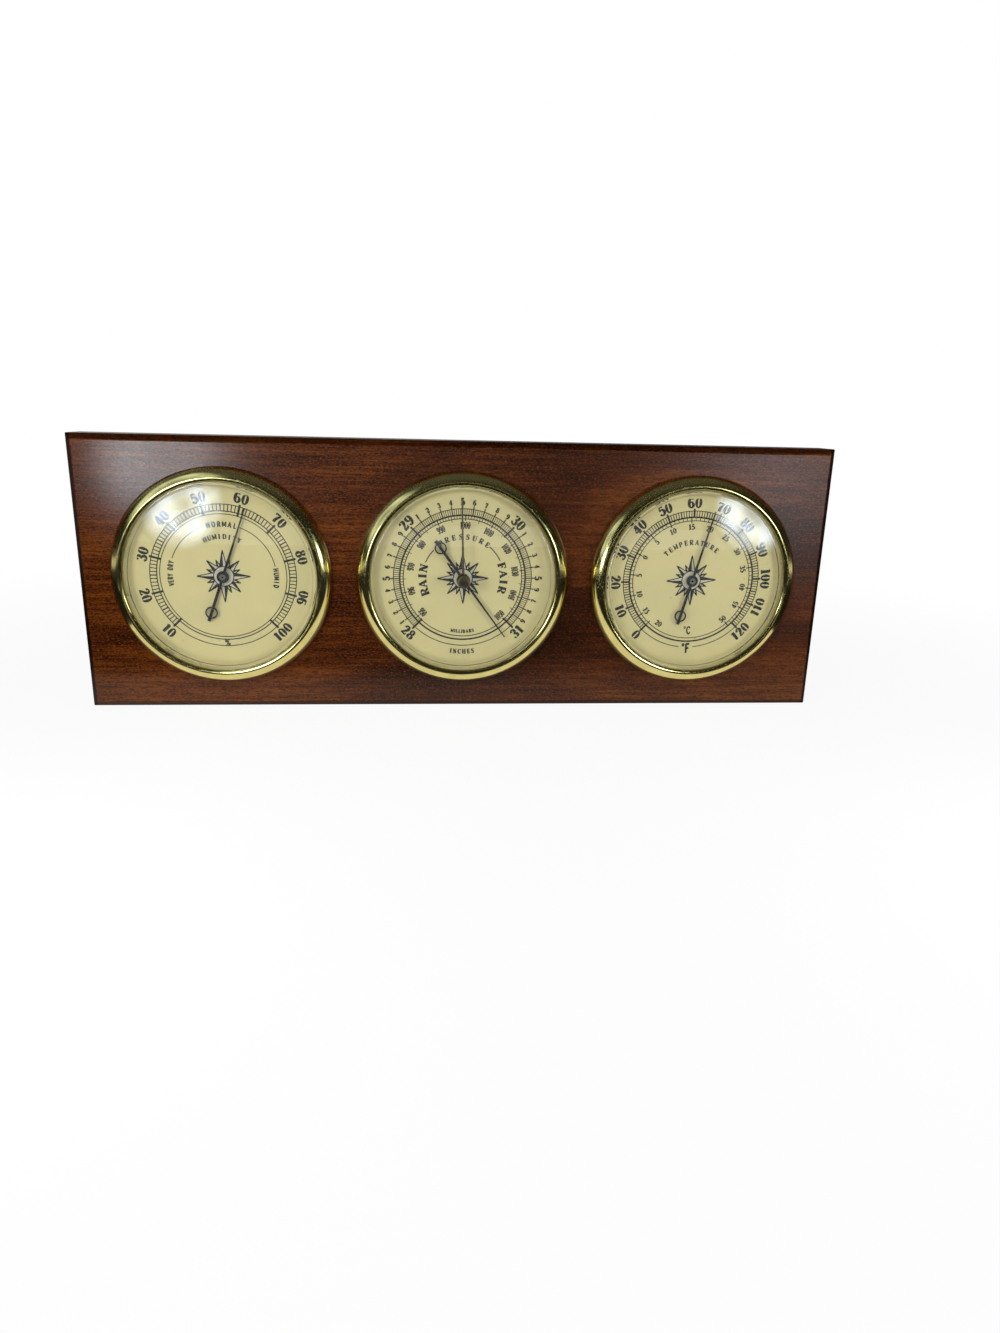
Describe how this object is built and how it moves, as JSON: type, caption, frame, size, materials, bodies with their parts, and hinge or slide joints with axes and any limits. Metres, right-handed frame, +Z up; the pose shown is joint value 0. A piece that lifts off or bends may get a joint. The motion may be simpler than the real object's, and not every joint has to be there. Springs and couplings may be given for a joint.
{
  "type": "weather station",
  "caption": "Wall or shelf weather station: a bevelled hardwood board with brass-ringed dial gauges for humidity, air pressure and temperature.",
  "frame": {"origin": "middle of the board's bottom edge, halfway through its thickness", "axes": "+X to the right seen from the front, +Y to the back towards the wall, +Z up"},
  "size_m": [0.3174, 0.0284, 0.1143],
  "materials": {
    "wood": "satin varnished reddish hardwood",
    "polished_brass": "polished, lightly pitted",
    "crystal": "clear",
    "dial_enamel": "matt cream, printed",
    "black_enamel": "satin black",
    "nickel": "dull nickel plate",
    "steel": "zinc plated",
    "plate_brass": "brushed",
    "knob_brass": "darkened with handling",
    "case_plastic": "moulded black",
    "bimetal": "rolled strip",
    "humidity_strip": "rolled strip with a paper face",
    "fibre": "red fibre"
  },
  "bodies": {
    "station": {"board": "wood", "hanger_plates": "steel", "hanger_screws": "steel", "hygrometer_case": "case_plastic", "hygrometer_bezel": "polished_brass", "hygrometer_crystal": "crystal", "hygrometer_dial": "dial_enamel", "hygrometer_bracket": "plate_brass", "hygrometer_bracket_screws": "steel", "hygrometer_bushes": "plate_brass", "hygrometer_coil": "humidity_strip", "hygrometer_coil_post": "plate_brass", "thermometer_case": "case_plastic", "thermometer_bezel": "polished_brass", "thermometer_crystal": "crystal", "thermometer_dial": "dial_enamel", "thermometer_bracket": "plate_brass", "thermometer_bracket_screws": "steel", "thermometer_bushes": "plate_brass", "thermometer_coil": "bimetal", "thermometer_coil_post": "plate_brass", "barometer_case": "case_plastic", "barometer_bezel": "polished_brass", "barometer_crystal": "crystal", "barometer_dial": "dial_enamel", "barometer_base_plate": "plate_brass", "barometer_base_screws": "steel", "barometer_pillars": "plate_brass", "barometer_top_plate": "plate_brass", "barometer_top_plate_screws": "steel", "barometer_capsule": "nickel", "barometer_rocker_ears": "plate_brass", "barometer_hairspring": "bimetal", "barometer_hairspring_stud": "plate_brass"},
    "hygrometer_pointer": {"hygrometer_arbor": "steel", "hygrometer_hand": "black_enamel", "hygrometer_hand_hub": "nickel", "hygrometer_hand_eyelet": "nickel"},
    "thermometer_pointer": {"thermometer_arbor": "steel", "thermometer_hand": "black_enamel", "thermometer_hand_hub": "nickel", "thermometer_hand_eyelet": "nickel"},
    "barometer_pointer": {"barometer_arbor": "steel", "barometer_pinion": "steel", "barometer_hand": "black_enamel", "barometer_hand_hub": "nickel", "barometer_hand_eyelet": "nickel"},
    "sector": {"barometer_sector": "plate_brass", "barometer_sector_shaft": "steel"},
    "rocker": {"barometer_rocker": "steel"},
    "set_pointer": {"barometer_set_hand": "plate_brass", "barometer_set_stem": "plate_brass", "barometer_set_washer": "fibre", "barometer_set_knob": "knob_brass"},
    "adjuster": {"barometer_adjusting_screw": "plate_brass"}
  },
  "joints": [
    {"name": "hygrometer_reading", "type": "hinge", "parent": "station", "child": "hygrometer_pointer", "pos_m": [-0.1003, -0.00952, 0.05715], "axis": [0, 1, 0], "range_deg": [-155, 115], "stiffness_Nm_per_rad": 0.0002, "deforming": ["hygrometer_coil"]},
    {"name": "thermometer_reading", "type": "hinge", "parent": "station", "child": "thermometer_pointer", "pos_m": [0.1003, -0.00952, 0.05715], "axis": [0, 1, 0], "range_deg": [-149.5, 120.5], "stiffness_Nm_per_rad": 0.0002, "deforming": ["thermometer_coil"]},
    {"name": "sector_turn", "type": "hinge", "parent": "station", "child": "sector", "pos_m": [0.008, -0.00952, 0.03241], "axis": [0, 1, 0], "range_deg": [-0.5, 24.5], "deforming": ["barometer_hairspring", "barometer_capsule"]},
    {"name": "barometer_reading", "type": "hinge", "parent": "station", "child": "barometer_pointer", "pos_m": [0, -0.00952, 0.05715], "axis": [0, 1, 0], "range_deg": [-294, 6], "stiffness_Nm_per_rad": 0.0002},
    {"name": "rocker_turn", "type": "hinge", "parent": "station", "child": "rocker", "pos_m": [0.008, 0.00038, 0.05715], "axis": [0, 0, 1], "range_deg": [-0.34, 16.34]},
    {"name": "set_hand_turn", "type": "hinge", "parent": "station", "child": "set_pointer", "pos_m": [0, -0.00952, 0.05715], "axis": [0, 1, 0], "continuous": true},
    {"name": "adjuster_turn", "type": "hinge", "parent": "station", "child": "adjuster", "pos_m": [0, 0.00952, 0.07615], "axis": [0, 1, 0], "continuous": true}
  ],
  "couplings": [
    {"joint": "barometer_reading", "follows": "sector_turn", "ratio": -12},
    {"joint": "rocker_turn", "follows": "sector_turn", "ratio": 0.66667}
  ]
}
